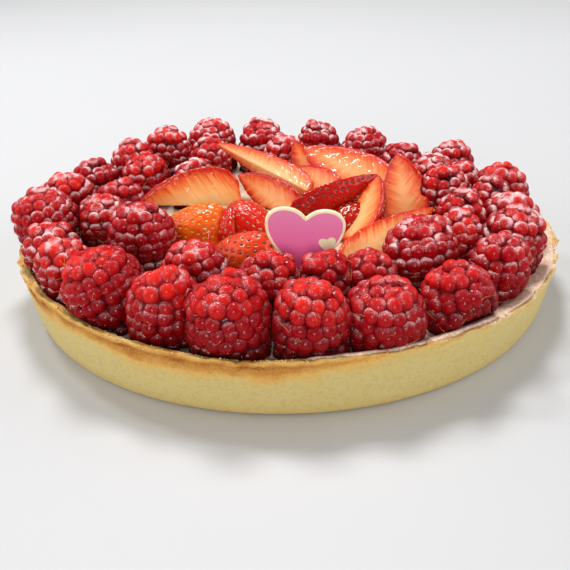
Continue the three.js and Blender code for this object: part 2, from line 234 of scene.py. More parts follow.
class TartPlaqueSettings(bpy.types.PropertyGroup):
    top: colour("Top pink", "The face near the lobes", 0xEE88B8)
    bottom: colour("Bottom pink", "The face near the point", 0xF04898)
    edge: colour("Edge", "The bare chocolate of the edge and the motif", 0xFFF4CE)


class TartStageSettings(bpy.types.PropertyGroup):
    floor: colour("Floor", "Pale studio sweep", 0xC6C6C7)
    key: power("Key light", "Power of the overhead light", 12.0)
    front: power("Front light", "Power of the front light", 12.2)
    small: power("Small light", "Power of the small light", 2.2)
    sides: power("Side lights", "Power of each side light", 6)


class TartSettings(bpy.types.PropertyGroup):
    crust: group(TartCrustSettings, "Crust", "The case")
    filling: group(TartFillingSettings, "Filling", "The cream")
    raspberry: group(TartRaspberrySettings, "Raspberry", "Raspberries")
    strawberry: group(TartStrawberrySettings, "Strawberry", "The cut fruit")
    plaque: group(TartPlaqueSettings, "Plaque", "The heart")
    stage: group(TartStageSettings, "Stage", "Floor and light")


def as_colour(value):
    """A hex number, a share of white or a setting as linear RGBA."""
    if isinstance(value, int):
        return linear(value)
    return (value, value, value, 1) if isinstance(value, float) else tuple(value)


def set_node(tree, node, settings):
    """Gives a node's properties, inputs and colour stops their values, or links its inputs to other nodes."""
    for key, value in settings.items():
        if isinstance(value, bpy.types.Node):
            tree.links.new(value.outputs[0], node.inputs[key])
        elif isinstance(value, bpy.types.NodeSocket):
            tree.links.new(value, node.inputs[key])
        elif key == "stops":
            elements = node.color_ramp.elements
            while len(elements) < len(value):
                elements.new(0.5)
            for element, (at, shade) in zip(elements, value):
                element.position = at
                element.color = as_colour(shade)
        elif isinstance(key, str) and hasattr(node, key):
            setattr(node, key, value)
        else:
            node.inputs[key].default_value = value
    return node


def add_node(tree, kind, settings=None):
    return set_node(tree, tree.nodes.new(f"ShaderNode{kind}"), settings or {})


def new_material(name):
    """An empty material with its output and Principled shader joined."""
    material = bpy.data.materials.new(name)
    material.use_nodes = True
    tree = material.node_tree
    tree.nodes.clear()
    shader = add_node(tree, "BsdfPrincipled")
    add_node(tree, "OutputMaterial", {"Surface": shader})
    return material, tree, shader


def make_object(name, points, faces, material, smooth=True):
    """A mesh object from points in millimetres."""
    mesh = bpy.data.meshes.new(name)
    mesh.from_pydata([tuple(map(float, p)) for p in points * MM], [], [tuple(map(int, f)) for f in faces])
    mesh.update()
    if smooth:
        mesh.shade_smooth()
    mesh.materials.append(material)
    piece = bpy.data.objects.new(name, mesh)
    bpy.context.scene.collection.objects.link(piece)
    return piece


def join(parts):
    """Several pairs of points and faces as one pair."""
    points, faces, count = [], [], 0
    for found, quads in parts:
        faces += [tuple(count + k for k in quad) for quad in quads]
        points.append(found)
        count += len(found)
    return np.vstack(points), faces


def set_values(piece, name, values):
    """A number at each point of the mesh, for the material to read."""
    layer = piece.data.attributes.new(name, "FLOAT", "POINT")
    layer.data.foreach_set("value", np.asarray(values, dtype=np.float32))


def set_vectors(piece, name, values):
    layer = piece.data.attributes.new(name, "FLOAT_VECTOR", "POINT")
    layer.data.foreach_set("vector", np.asarray(values, dtype=np.float32).ravel())


def direction(bearing, elevation):
    b, e = math.radians(bearing), math.radians(elevation)
    return np.array([math.cos(e) * math.cos(b), math.cos(e) * math.sin(b), math.sin(e)])


def smoothstep(low, high, x):
    t = np.clip((x - low) / (high - low), 0, 1)
    return t * t * (3 - 2 * t)


def lumps(points, size, seed=0.0, octaves=3):
    """Smooth noise from -1 to 1 at points in millimetres, with lumps of about that size."""
    offset = Vector((seed, seed * 1.7, -seed))
    return np.array([noise.fractal(Vector(p) / size + offset, 0.7, 2.1, octaves) for p in points])


def rim_height(bearing):
    tilt = RIM_TILT * np.cos(bearing - math.radians(RIM_HIGH_AT))
    return RIM_HEIGHT + tilt + 0.3 * np.sin(5 * bearing + 1) + 0.22 * np.sin(13 * bearing + 2)


def filling_height(distance):
    share = np.minimum(1, distance / MOUND_RADIUS)
    return FILLING_LEVEL + MOUND_HEIGHT * (0.5 + 0.5 * np.cos(math.pi * share))


def ring_faces(rings, steps, flip=False):
    """Quads between closed rings of points, the rings stored one after another."""
    faces = []
    for j in range(rings - 1):
        for i in range(steps):
            k = (i + 1) % steps
            face = (j * steps + i, j * steps + k, (j + 1) * steps + k, (j + 1) * steps + i)
            faces.append(face[::-1] if flip else face)
    return faces


# Crust


def crust_profile():
    """The case's section from the middle of its underside, up the wall, over the rim and down inside."""
    lip, inner = RIM_RADIUS, RIM_RADIUS - WALL
    corners = [
        (0.0, 0.0), (BASE_RADIUS - 2.6, 0.0), (BASE_RADIUS - 1.2, 0.2), (BASE_RADIUS - 0.3, 0.9),
        (BASE_RADIUS + 0.3, 2.2), (BASE_RADIUS + 0.9, 4.2), (BASE_RADIUS + 2.1, 10.0),
        (lip - 1.5, RIM_HEIGHT - 3.6), (lip - 1.1, RIM_HEIGHT - 1.7), (lip - 0.8, RIM_HEIGHT - 0.7),
        (lip - 0.8, RIM_HEIGHT - 0.15), (lip - 1.1, RIM_HEIGHT), (lip - 1.9, RIM_HEIGHT - 0.25),
        (inner - 0.5, RIM_HEIGHT - 0.9), (inner - 0.8, FILLING_LEVEL - 2),
        (BASE_RADIUS - WALL + 1.4, FLOOR + 1), (0.0, FLOOR),
    ]
    points = []
    for (r0, z0), (r1, z1) in zip(corners, corners[1:]):
        hidden = r0 == 0 or (r1 < inner - 0.9 and z0 > 0 and r1 < r0)
        steps = 1 if hidden else max(1, round(math.hypot(r1 - r0, z1 - z0) / CRUST_CELL))
        points += [(r0 + (r1 - r0) * i / steps, z0 + (z1 - z0) * i / steps) for i in range(steps)]
    return np.array(points[1:])


def crust_points(profile, steps):
    """The case's surface with its waves, its broken lip and flaky wall, in millimetres.

    Also gives how far up the case each point is, as a share, and how far it lies below the lip."""
    bearing = np.arange(steps) * 2 * math.pi / steps
    r, b = profile[:, None, 0], bearing[None, :]
    z = np.repeat(profile[:, None, 1], steps, axis=1)
    share = np.maximum(0, (z - FLOOR - 2) / (RIM_HEIGHT - FLOOR - 2))
    out = 1 + (0.003 * np.sin(3 * b) + 0.002 * np.sin(7 * b + 2)) * share
    lift = (rim_height(b) - RIM_HEIGHT) * share
    radius = r * out
    points = np.stack([radius * np.cos(b), radius * np.sin(b), z + lift], axis=-1).reshape(-1, 3)
    height = share.reshape(-1)
    depth = (RIM_HEIGHT - z).reshape(-1)
    edge = smoothstep(3.0, 0.3, depth)
    flat = np.hypot(points[:, 0], points[:, 1])
    wall = smoothstep(0.1, 1.5, points[:, 2]) * (flat > BASE_RADIUS - 2)
    way = np.stack([np.cos(b), np.sin(b), np.zeros_like(b)], axis=-1).reshape(-1, 3) * RIM_RADIUS
    chips = np.tile(lumps(way, 6, 3.0, 4), len(profile))
    bites = smoothstep(0.18, 0.34, np.tile(lumps(way, 9, 13.0, 3), len(profile)))
    ragged = lumps(points, 2.2, 4.0, 3)
    outward = points[:, :2] / np.maximum(flat, 1)[:, None]
    push = wall * (0.14 * lumps(points, 14, 5.0, 2) - 0.1 * smoothstep(0.3, 0.7, lumps(points, 1.3, 9.0, 2)))
    flakes = smoothstep(-0.04, 0.04, lumps(points * [1, 1, 2.5], 7, 61.0, 3)) - 0.5
    push += edge * (0.3 * ragged + 0.35 * chips) + wall * smoothstep(5, 1, depth) * 0.4 * flakes
    points[:, :2] += outward * push[:, None]
    points[:, 2] += edge * (0.35 * chips - 0.35 * bites * smoothstep(1.6, 0.2, depth) + 0.4 * ragged)
    return points, height, depth


def crust_bake_and_painted_shade(points, depth):
    """How brown each point of the case is, from 0 pale to 1 brown: a band under its lip, darkest in front,
    and painted darker as shade near the floor.
    """
    bearing = np.degrees(np.arctan2(points[:, 1], points[:, 0]))
    drift = lumps(points, 15, 20.0, 3)
    fine = lumps(points * [1, 1, 3.5], 5, 30.0, 3)
    front = smoothstep(-62, -88, bearing) * smoothstep(-179, -155, bearing)
    side = 0.15 + 0.85 * smoothstep(-64, -92, bearing) * smoothstep(175, 150, np.abs(bearing))
    band = smoothstep(0.1, 1.6, depth) * (1 - smoothstep(0.5, 9 + 3 * drift, depth)) ** 1.6
    lip = smoothstep(2.2, 0.2, depth)
    outside = np.hypot(points[:, 0], points[:, 1]) > RIM_RADIUS - 2.3
    brown = band * side * (0.62 + 0.25 * front + 0.16 * drift + 0.2 * fine) * outside
    golden = lip * (0.42 + 0.2 * fine + 0.1 * drift)
    # Painted shade: the wall is painted browner towards the floor
    painted_shade_at_foot = 0.14 * smoothstep(5, 0.5, points[:, 2])
    return np.clip(brown + golden * (1 - 0.6 * band) + 0.05 * drift + painted_shade_at_foot, 0, 1)


def crust_material(settings):
    """Baked shortcrust: a dry, finely porous crumb that scatters light, browned where the oven reached it,
    and painted darker as shade near the floor.
    """
    material, tree, shader = new_material("Baked shortcrust")
    place = add_node(tree, "TexCoord").outputs["Object"]
    bake = add_node(tree, "Attribute", {"attribute_name": "bake"}).outputs["Fac"]
    sugar = add_node(tree, "Attribute", {"attribute_name": "sugar"}).outputs["Fac"]
    crumb = add_node(tree, "TexNoise", {
        "Vector": place, "Scale": 1 / (1.3 * MM), "Detail": 5.0, "Roughness": 0.65,
    })
    mottle = add_node(tree, "TexNoise", {
        "Vector": place, "Scale": 1 / (5 * MM), "Detail": 4.0, "Roughness": 0.6,
    })
    sand = add_node(tree, "TexNoise", {
        "Vector": place, "Scale": 1 / (0.5 * MM), "Detail": 3.0, "Roughness": 0.8,
    })
    spread = add_node(tree, "Math", {"operation": "MULTIPLY_ADD", 0: mottle, 1: 0.2, 2: -0.1})
    sandy = add_node(tree, "Math", {"operation": "MULTIPLY_ADD", 0: sand, 1: 1.1, 2: -0.55})
    # The bake value also carries the painted shade near the floor
    baked = add_node(tree, "Math", {"operation": "MULTIPLY_ADD", 0: sandy, 1: bake, 2: bake})
    tone = add_node(tree, "ValToRGB", {
        "Fac": add_node(tree, "Math", {"operation": "ADD", 0: baked, 1: spread}),
        "stops": [
            (0.0, settings.pale), (0.22, 0xD2B56C), (0.42, settings.golden), (0.62, 0xC48F44),
            (0.82, settings.brown), (1.0, 0x8E541E),
        ],
    })
    speck = add_node(tree, "ValToRGB", {"Fac": crumb, "stops": [(0.3, 0xD6C29C), (0.52, 1.0)]})
    body = add_node(tree, "Mix", {
        "data_type": "RGBA", "blend_type": "MULTIPLY", 0: 0.35, 6: tone, 7: speck,
    }).outputs[2]
    dust = add_node(tree, "TexNoise", {
        "Vector": place, "Scale": 1 / (0.8 * MM), "Detail": 6.0, "Roughness": 0.8,
    })
    grainy = add_node(tree, "ValToRGB", {"Fac": dust, "stops": [(0.42, 0.0), (0.6, 1.0)]})
    cover = add_node(tree, "Math", {"operation": "MULTIPLY", 0: sugar, 1: grainy})
    pore = add_node(tree, "TexVoronoi", {"Vector": place, "Scale": 0.4 / settings.pore})
    pits = add_node(tree, "ValToRGB", {"Fac": pore, "stops": [(0.03, 0.4), (0.14, 1.0)]})
    rough = add_node(tree, "Math", {"operation": "MULTIPLY_ADD", 0: sand, 1: 1.2, 2: pits})
    set_node(tree, shader, {
        "Base Color": add_node(tree, "Mix", {
            "data_type": "RGBA", 0: cover, 6: body, 7: linear(0xF7ECE0),
        }).outputs[2],
        "Normal": add_node(tree, "Bump", {"Height": rough, "Strength": 0.3, "Distance": 0.16 * MM}),
        "Roughness": 0.82,
        "Specular IOR Level": 0.25,
        "Subsurface Weight": 0.12,
        "Subsurface Radius": (1.0, 0.6, 0.3),
        "Subsurface Scale": 1.2 * MM,
    })
    return material


class TART_OT_crust(bpy.types.Operator):
    """Bakes the shortcrust case"""

    bl_idname = "tart.crust"
    bl_label = "Crust"
    bl_options = {"REGISTER", "UNDO"}

    def execute(self, context):
        steps = CRUST_STEPS
        profile = crust_profile()
        points, height, depth = crust_points(profile, steps)
        last = (len(profile) - 1) * steps
        faces = ring_faces(len(profile), steps)
        faces += [tuple(range(steps))[::-1], tuple(range(last, last + steps))]
        piece = make_object("shortcrust_case", points, faces, crust_material(context.scene.tart.crust))
        set_values(piece, "bake", crust_bake_and_painted_shade(points, depth))
        bearing = np.degrees(np.arctan2(points[:, 1], points[:, 0]))
        inside = smoothstep(RIM_RADIUS - 0.4, RIM_RADIUS - 2, np.hypot(points[:, 0], points[:, 1]))
        dusted = smoothstep(-75, -40, bearing) * smoothstep(60, 20, bearing)
        upper = smoothstep(0.9, 0.99, height)
        patches = smoothstep(-0.25, 0.35, lumps(points, 7, 44.0, 3))
        set_values(piece, "sugar", upper * (dusted * (0.25 + 0.75 * patches) + 0.25 * patches * inside))
        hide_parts("crust")
        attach(piece, "root")
        self.add_crumbs(points[depth < 0.8], piece.data.materials[0])
        return {"FINISHED"}

    def add_crumbs(self, lip, material):
        """Crumbs broken off along the lip."""
        chance = np.random.default_rng(3)
        spots = lip[chance.choice(len(lip), CRUMBS, replace=False)]
        crumbs = [crystal(at + [0, 0, 0.15], chance.uniform(*CRUMB_SIZES), chance) for at in spots]
        points, faces = join((crumb, CRYSTAL_FACES) for crumb in crumbs)
        piece = make_object("crust_crumbs", points, faces, material)
        set_values(piece, "bake", np.repeat(chance.uniform(0.25, 0.6, CRUMBS), 6))
        set_values(piece, "sugar", np.repeat(chance.uniform(0, 0.6, CRUMBS), 6))
        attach(piece, "root")


# Filling


def filling_material(settings):
    """Baked almond cream: soft and matt, stained pink where juice has soaked in, and dusted with sugar."""
    material, tree, shader = new_material("Baked almond cream")
    place = add_node(tree, "TexCoord").outputs["Object"]
    fine = add_node(tree, "TexNoise", {
        "Vector": place, "Scale": 1 / (0.9 * MM), "Detail": 4.0, "Roughness": 0.7,
    })
    wide = add_node(tree, "TexNoise", {
        "Vector": place, "Scale": 1 / (9 * MM), "Detail": 4.0, "Roughness": 0.6,
    })
    soaked = add_node(tree, "Math", {"operation": "MULTIPLY_ADD", 0: wide, 1: 0.7, 2: -0.36})
    juice = add_node(tree, "Attribute", {"attribute_name": "stain"}).outputs["Fac"]
    stained = add_node(tree, "Math", {"operation": "ADD", "use_clamp": True, 0: soaked, 1: juice})
    tone = add_node(tree, "ValToRGB", {
        "Fac": stained, "stops": [(0.0, settings.cream), (0.55, 0xD2988A), (1.0, settings.stain)],
    })
    sugar = add_node(tree, "ValToRGB", {"Fac": fine, "stops": [(0.44, 0.0), (0.6, 0.85)]})
    set_node(tree, shader, {
        "Base Color": add_node(tree, "Mix", {
            "data_type": "RGBA", 0: sugar, 6: tone, 7: linear(0xF2E0D4),
        }).outputs[2],
        "Normal": add_node(tree, "Bump", {"Height": fine, "Strength": 0.4, "Distance": 0.2 * MM}),
        "Roughness": 0.6,
        "Subsurface Weight": 0.25,
        "Subsurface Radius": (1.0, 0.5, 0.3),
        "Subsurface Scale": 1.5 * MM,
    })
    return material


class TART_OT_filling(bpy.types.Operator):
    """Fills the case with almond cream"""

    bl_idname = "tart.filling"
    bl_label = "Filling"
    bl_options = {"REGISTER", "UNDO"}

    def execute(self, context):
        steps = FILLING_STEPS
        outer = RIM_RADIUS - WALL - 1.1
        surface = np.concatenate([np.linspace(4, 60, 12), np.linspace(61, outer, 34)])
        radii = np.concatenate([surface, [outer + 0.25, outer]])
        levels = np.concatenate([filling_height(surface), [FILLING_LEVEL - 1.6, FLOOR + 1.7]])
        bearing = np.arange(steps) * 2 * math.pi / steps
        degrees = np.degrees((bearing + math.pi) % (2 * math.pi) - math.pi)
        # On the right the cream has run up over the inside of the rim
        spilt = smoothstep(-100, -84, degrees) * smoothstep(100, 60, degrees)
        climb = smoothstep(outer - 4.5, outer, radii) * (np.arange(len(radii)) <= len(surface))
        reach = radii[:, None] + climb[:, None] ** 2 * spilt * 2.0
        x, y = reach * np.cos(bearing), reach * np.sin(bearing)
        rise = np.maximum(rim_height(bearing) + 0.05 - FILLING_LEVEL, 0)
        z = levels[:, None] + climb[:, None] * spilt * rise
        points = np.stack([x, y, z], axis=-1).reshape(-1, 3)
        top = np.arange(len(points)) < len(surface) * steps
        edge = np.repeat(smoothstep(outer - 2.5, outer, radii), steps) * top
        swell = 0.25 * lumps(points, 9, 50.0, 3) + 0.5 * edge * lumps(points, 6, 52.0, 2)
        points[:, 2] += np.where(top, np.minimum(swell, 0.12), 0)
        last = (len(radii) - 1) * steps
        faces = ring_faces(len(radii), steps, flip=True)
        faces += [tuple(range(steps)), tuple(range(last, last + steps))[::-1]]
        piece = make_object("almond_cream", points, faces, filling_material(context.scene.tart.filling))
        flat = points[:, :2]
        nearest = np.full(len(points), 99.0)
        for place in raspberry_places():
            away = np.hypot(*(flat - place["centre"][:2]).T) - place["radius"]
            nearest = np.minimum(nearest, away)
        set_values(piece, "stain", 0.5 * smoothstep(1.5, -1.5, nearest))
        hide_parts("filling")
        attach(piece, "root")
        return {"FINISHED"}


# Raspberries


def raspberry_places():
    """Where each raspberry stands: the middle of its widest level, its size and its turn, in millimetres."""
    spin = np.random.default_rng(7)
    places = []
    for bearing, distance, radius, height, lean, towards in OUTER_RASPBERRIES + INNER_RASPBERRIES:
        centre = direction(bearing, 0) * distance
        centre[2] = filling_height(distance) + GAP + WIDEST_AT * height * 0.97
        tip = Vector(direction(towards, 90 - lean))
        upright = Vector((0, 0, 1)).rotation_difference(tip).to_matrix()
        turn = upright @ Matrix.Rotation(spin.uniform(0, 6.28), 3, "Z")
        places.append({"centre": centre, "radius": radius, "height": height, "turn": np.array(turn)})
    return places


def berry_outline(place, share):
    """Radius and height of a raspberry's outline, from share -1 at its base over 0 at its widest to 1."""
    below = place["radius"] * (1 - BASE_TAPER * share**2)
    above = place["radius"] * (1 - np.clip(share, 0, 1) ** 2) ** 0.4
    level = np.where(share < 0, WIDEST_AT, 1 - WIDEST_AT) * place["height"] * share
    return np.where(share < 0, below, above), level


def drupelets(place, width, chance):
    """A raspberry's drupelets in staggered rows from base to tip: their centres, outward ways and radii."""
    share = np.linspace(-0.96, 1, 300)
    r, z = berry_outline(place, share)
    dr, dz = np.gradient(r), np.gradient(z)
    slope = np.hypot(dr, dz)
    out_r, out_z = dz / slope, -dr / slope
    sink = DRUPELET_SINK * width
    r, z = np.maximum(r * 1.03 - out_r * sink, 0), z - out_z * sink
    arc = np.concatenate([[0], np.cumsum(np.hypot(np.diff(r), np.diff(z)))])
    rows = max(4, round(arc[-1] / (ROW_GAP * width)))
    found = []
    for row in range(rows + 1):
        at = (row + 0.12) / (rows + 0.12) * arc[-1]
        ring, level = np.interp(at, arc, r), np.interp(at, arc, z)
        out, up = np.interp(at, arc, out_r), np.interp(at, arc, out_z)
        count = 1 if row == rows else max(3, round(2 * math.pi * ring / (RING_GAP * width)))
        offset, low_side = chance.uniform(0, 6.28, 2)
        for i in range(count):
            a = offset + 2 * math.pi * (i + chance.uniform(-0.16, 0.16)) / count
            size = chance.uniform(0.92, 1.1)
            flat = ring if count > 1 else 0
            slant = 0.75 * math.cos(a - low_side) + chance.uniform(-0.45, 0.45)
            centre = [flat * math.cos(a), flat * math.sin(a), level + slant]
            way = np.array([out * math.cos(a), out * math.sin(a), up]) if count > 1 else np.array([0, 0, 1.0])
            found.append((np.array(centre), way / np.linalg.norm(way), CAP_RADIUS * width * size))
    return found


def dome(centre, way, radius, chance):
    """The outer part of one drupelet, from its crest to where it sinks between its neighbours."""
    rings, steps = DOME_CUT
    side = np.cross(way, [0.0, 0.0, 1.0]) if abs(way[2]) < 0.95 else np.cross(way, [1.0, 0.0, 0.0])
    side /= np.linalg.norm(side)
    rise = np.cross(side, way)
    angle = np.radians(np.linspace(*DOME_ANGLES, rings))[:, None]
    turn = (np.arange(steps) * 2 * math.pi / steps)[None, :]
    wide, tall = chance.uniform(0.95, 1.05), chance.uniform(0.95, 1.05)
    across = radius * wide * np.sin(angle) * np.cos(turn)
    along = radius * tall * np.sin(angle) * np.sin(turn)
    out = radius * DOME_CREST * np.cos(angle) * np.ones_like(turn)
    points = centre + across[..., None] * side + along[..., None] * rise + out[..., None] * way
    points = np.vstack([points.reshape(-1, 3), [centre + DOME_CREST * radius * way]])
    crest = np.append(np.repeat(1 - angle[:, 0] / math.radians(CREST_ENDS), steps), 1.0)
    faces = [f[::-1] for f in ring_faces(rings, steps)]
    faces += [(i, (i + 1) % steps, rings * steps) for i in range(steps)]
    return points, faces, crest


def rim_limit(points):
    """How far out a raspberry may reach: it stands back from the rim at the right, and less at the left."""
    bearing = np.degrees(np.arctan2(points[:, 1], points[:, 0]))
    right = smoothstep(-76, -62, bearing) * smoothstep(50, 30, bearing)
    left = 0.45 * smoothstep(-100, -125, bearing) * smoothstep(-178, -165, bearing)
    stand_back = np.maximum(right, left)
    overhang = 0.7 * np.maximum(points[:, 2] - FILLING_LEVEL - 1, 0)
    limit = RIM_RADIUS - WALL - STAND_BACK * stand_back + overhang
    return np.where(stand_back > 0, limit, 2 * RIM_RADIUS)


def press(place, neighbours, points):
    """Points of a raspberry pressed back by its neighbours, and resting on the cream and the rim."""
    for other in neighbours:
        apart = other["centre"] - place["centre"]
        distance = np.linalg.norm(apart)
        own = (distance**2 + place["radius"] ** 2 - other["radius"] ** 2) / (2 * distance) - GAP / 2
        over = np.maximum(points @ (apart / distance) - own, 0)
        points = points - over[:, None] * (apart / distance)
    at = place["centre"] + points
    radius = np.hypot(at[:, 0], at[:, 1])
    on_rim = (radius > RIM_RADIUS - WALL - 1.0) & (radius < RIM_RADIUS + 1.0)
    level = np.where(on_rim, rim_height(np.arctan2(at[:, 1], at[:, 0])) + 0.35, filling_height(radius) + 0.05)
    at[:, 2] = np.where(radius < RIM_RADIUS + 1.0, np.maximum(at[:, 2], level), at[:, 2])
    return at


def berry_core(place, width):
    """The dark body under the drupelets, kept inside them: points about the berry's middle, and faces."""
    rings, steps = CORE_CUT
    r, z = berry_outline(place, np.linspace(-1, 1, rings))
    turn = np.arange(steps) * 2 * math.pi / steps
    ring = np.maximum(r - 0.36 * width, 0)[:, None]
    level = np.repeat((z * 0.9)[:, None], steps, axis=1)
    core = np.stack([ring * np.cos(turn), ring * np.sin(turn), level], axis=-1)
    core = core.reshape(-1, 3) @ place["turn"].T + place["centre"]
    flat = np.hypot(core[:, 0], core[:, 1])
    core[:, :2] *= np.minimum(1, (rim_limit(core) - 0.6 * width) / flat)[:, None]
    return (core - place["centre"]) @ place["turn"], ring_faces(rings, steps)


def berry_mesh(place, neighbours, width, chance):
    """A raspberry of drupelets round a dark core: points in millimetres, faces, and four values a point.

    These are its crest, the drupelet's tone, how far up the berry it is, and 1 where nothing presses it."""
    core, faces = berry_core(place, width)
    parts, values = [(core, faces)], [np.zeros((len(core), 3))]
    for centre, way, radius in drupelets(place, width, chance):
        at = place["centre"] + place["turn"] @ centre
        radial = np.array([at[0], at[1], 0]) / math.hypot(at[0], at[1])
        reach = at @ radial + DOME_CREST * radius * max(0, radial @ (place["turn"] @ way))
        back = max(0, reach - rim_limit(at[None])[0])
        cap, quads, crest = dome(centre - place["turn"].T @ radial * back, way, radius, chance)
        parts.append((cap, quads))
        rise = np.clip(centre[2] / place["height"] + WIDEST_AT, 0, 1)
        tone = np.full(len(cap), chance.uniform())
        values.append(np.column_stack([crest, tone, np.full(len(cap), rise)]))
    points, faces = join(parts)
    points = points @ place["turn"].T
    pressed = press(place, neighbours, points)
    free = np.linalg.norm(pressed - place["centre"] - points, axis=1) < PRESSED
    return pressed, faces, np.column_stack([np.vstack(values), free])


def raspberry_material(settings):
    """Raspberry: thin shiny skins full of juice, painted darker as shade in the hollows, with sugar and a
    painted sheen round the crests where they face up.
    """
    material, tree, shader = new_material("Ripe raspberry under icing sugar")
    place = add_node(tree, "TexCoord").outputs["Object"]
    crest, tone, rise, frost = (
        add_node(tree, "Attribute", {"attribute_name": name}).outputs["Fac"]
        for name in ("crest", "tone", "rise", "frost")
    )
    # Painted shade: the flesh darkens from each crest down into the hollows between the drupelets
    flesh = add_node(tree, "ValToRGB", {"Fac": crest, "stops": [
        (0.03, settings.painted_hollow_shade), (0.2, 0xA00612), (0.55, settings.flesh), (1.0, 0xAA0411),
    ]})
    # Painted light and shade: the drupelets near the tip are painted brighter and warmer on their crests, and
    # the lowest ones painted darker
    high = add_node(tree, "ValToRGB", {"Fac": rise, "stops": [(0.5, 0.0), (0.95, 1.0)]})
    lit = add_node(tree, "Math", {"operation": "MULTIPLY", 0: tone, 1: high})
    painted_tip_light = add_node(tree, "ValToRGB", {"Fac": lit, "stops": [(0.1, 0.0), (0.8, 0.9)]})
    outer = add_node(tree, "ValToRGB", {"Fac": crest, "stops": [(0.2, 0.2), (0.6, 1.0)]})
    bright = add_node(tree, "Math", {"operation": "MULTIPLY", 0: painted_tip_light, 1: outer})
    flesh_with_painted_light = add_node(tree, "Mix", {
        "data_type": "RGBA", 0: bright, 6: flesh, 7: tuple(settings.bright),
    }).outputs[2]
    # Painted shade: the lowest drupelets of each berry are multiplied darker, as if the light from above
    # missed them
    low = add_node(tree, "ValToRGB", {
        "Fac": rise, "stops": [(0.05, 0x786066), (0.45, 0xD0C4C6), (0.85, 1.0)],
    })
    flesh_with_painted_light_and_shade = add_node(tree, "Mix", {
        "data_type": "RGBA", "blend_type": "MULTIPLY", 0: 1.0, 6: flesh_with_painted_light, 7: low,
    }).outputs[2]
    # Sugar settles round each crest where it faces up, in drifts a few millimetres wide; the pale rim round
    # each crest is partly sugar and partly a painted sheen
    sugar_and_painted_sheen_rim = add_node(tree, "ValToRGB", {"Fac": crest, "stops": [
        (0.04, 0.35), (0.16, 1.0), (0.36, 0.9), (0.6, 0.4), (0.9, 0.15),
    ]})
    normal = add_node(tree, "NewGeometry").outputs["Normal"]
    up = add_node(tree, "SeparateXYZ", {0: normal}).outputs["Z"]
    facing = add_node(tree, "ValToRGB", {"Fac": up, "stops": [(0.12, 0.0), (0.42, 0.5), (0.75, 1.0)]})
    settled_sugar_and_painted_sheen = add_node(tree, "Math", {"operation": "MULTIPLY", 0: sugar_and_painted_sheen_rim, 1: facing})
    patches = add_node(tree, "TexNoise", {"Vector": place, "Scale": 1 / (5 * MM), "Detail": 2.0})
    drift = add_node(tree, "ValToRGB", {"Fac": patches, "stops": [(0.36, 0.12), (0.62, 1.0)]})
    fallen = add_node(tree, "Math", {"operation": "MULTIPLY", 0: drift, 1: frost})
    amount = add_node(tree, "Math", {"operation": "MULTIPLY", 0: settled_sugar_and_painted_sheen, 1: fallen})
    # Sugar that the juice has wetted, with the painted sheen of the rims, is a pink veil, and dry sugar lies
    # over it as pale powder.
    # Icing sugar is too fine to show, so its powder is drawn 0.4 mm wide
    powder = add_node(tree, "TexNoise", {
        "Vector": place, "Scale": 1 / (0.38 * MM), "Detail": 3.0, "Roughness": 0.75,
    })
    veil = add_node(tree, "Math", {"operation": "MULTIPLY", "use_clamp": True, 0: amount, 1: 0.32})
    veiled = add_node(tree, "Mix", {
        "data_type": "RGBA", 0: veil, 6: flesh_with_painted_light_and_shade, 7: linear(0xE8838A),
    }).outputs[2]
    rough_edge = add_node(tree, "Math", {"operation": "MULTIPLY_ADD", 0: powder, 1: 2.2, 2: -1.1})
    clumped = add_node(tree, "Math", {"operation": "MULTIPLY_ADD", 0: amount, 1: 0.9, 2: rough_edge})
    cover = add_node(tree, "ValToRGB", {"Fac": clumped, "stops": [(0.32, 0.0), (0.95, 0.85)]})
    dull = add_node(tree, "Math", {
        "operation": "MULTIPLY_ADD", "use_clamp": True, 0: cover, 1: 0.6, 2: 0.2,
    })
    set_node(tree, shader, {
        "Base Color": add_node(tree, "Mix", {
            "data_type": "RGBA", 0: cover, 6: veiled, 7: tuple(settings.sugar),
        }).outputs[2],
        "Roughness": dull,
        "Normal": add_node(tree, "Bump", {"Height": powder, "Strength": 0.3, "Distance": 0.1 * MM}),
        "Subsurface Weight": 0.2,
        "Subsurface Radius": (1.0, 0.1, 0.06),
        "Subsurface Scale": 0.8 * MM,
        "IOR": 1.4,
        "Specular IOR Level": 0.0,
        "Coat Weight": 0.3,
        "Coat Roughness": 0.08,
        "Sheen Weight": 0.02,
        "Sheen Roughness": 0.35,
        "Sheen Tint": linear(0xFFB4AE),
    })
    return material


def sugar_material():
    """Icing sugar lumps: dry crystals that scatter all light, a little pink from juice."""
    material, tree, shader = new_material("Icing sugar")
    set_node(tree, shader, {
        "Base Color": linear(0xF2D2D0),
        "Roughness": 0.7,
        "Subsurface Weight": 0.3,
        "Subsurface Scale": 0.2 * MM,
    })
    return material


def hair_material():
    """Raspberry styles: dry golden threads left on the drupelets."""
    material, tree, shader = new_material("Dry berry thread")
    set_node(tree, shader, {"Base Color": linear(0xF0BC6A), "Roughness": 0.6})
    return material


def crystal(at, size, chance):
    """An eight-sided grain with its long axis turned at random."""
    axes = np.linalg.qr(chance.normal(size=(3, 3)))[0] * (size * chance.uniform(0.6, 1.2, 3))[:, None]
    return at + np.array([axes[0], -axes[0], axes[1], -axes[1], axes[2], -axes[2]])


CRYSTAL_FACES = [(0, 2, 4), (2, 1, 4), (1, 3, 4), (3, 0, 4), (2, 0, 5), (1, 2, 5), (3, 1, 5), (0, 3, 5)]


def thread(start, way, reach, chance):
    """A thin curved hair of three sides that tapers to a point."""
    side = np.cross(way, chance.normal(size=3))
    side /= np.linalg.norm(side)
    other = np.cross(way, side)
    bend = side * chance.uniform(0.6, 1.4) * reach
    rings, sides = HAIR_CUT
    points = []
    for t in np.linspace(0, 1, rings):
        middle = start + way * reach * t + bend * t * t
        for k in range(sides):
            a = 2 * math.pi * k / sides
            points.append(middle + HAIR_WIDTH * (1 - 0.6 * t) * (math.cos(a) * side + math.sin(a) * other))
    return np.array(points), ring_faces(rings, sides)


